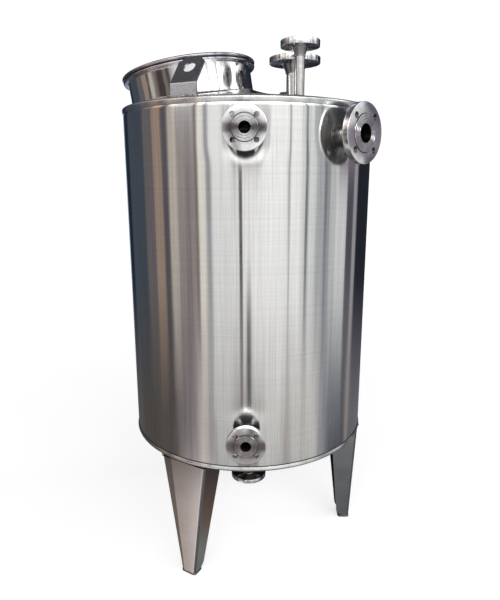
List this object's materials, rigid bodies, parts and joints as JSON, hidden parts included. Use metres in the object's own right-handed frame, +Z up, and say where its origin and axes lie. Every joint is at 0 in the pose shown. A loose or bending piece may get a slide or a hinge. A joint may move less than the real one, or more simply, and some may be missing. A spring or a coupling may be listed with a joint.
{
  "type": "vertical storage tank",
  "caption": "Upright cylindrical stainless-steel tank with conical ends, a tilted round manway, flanged nozzles, lifting lugs and folded sheet legs.",
  "frame": {"origin": "middle of the object's box at floor level, under the feet; the tank's axis stands 4 mm towards +X and 32 mm towards +Y from it", "axes": "+Z up along the tank, -Y towards the front nozzles, -X towards the manway"},
  "size_m": [0.813, 0.8696, 1.662],
  "materials": {
    "shell_steel": "bright rolled sheet with fine grain round the shell",
    "mirror_steel": "mirror polished",
    "flange_steel": "turned, with fine grooves on the sealing face",
    "tube_steel": "polished tube",
    "leg_steel": "blasted matt sheet",
    "lug_steel": "dull rolled plate",
    "gasket_rubber": "matt"
  },
  "bodies": {
    "root": {"shell": "shell_steel", "roof_cone": "shell_steel", "floor_cone": "shell_steel", "manway_neck": "mirror_steel", "manway_gasket": "gasket_rubber", "manway_lid": "mirror_steel", "lid_handle": "mirror_steel", "front_upper_flange": "flange_steel", "front_upper_tube": "tube_steel", "front_lower_flange": "flange_steel", "front_lower_tube": "tube_steel", "side_flange": "flange_steel", "side_tube": "tube_steel", "top_front_flange": "flange_steel", "top_front_tube": "tube_steel", "top_rear_flange": "flange_steel", "top_rear_tube": "tube_steel", "outlet_flange": "flange_steel", "outlet_tube": "tube_steel", "leg_right": "leg_steel", "foot_right": "leg_steel", "leg_rear": "leg_steel", "foot_rear": "leg_steel", "leg_front": "leg_steel", "foot_front": "leg_steel", "lifting_lug_front": "lug_steel", "lifting_lug_rear": "lug_steel"}
  },
  "joints": []
}
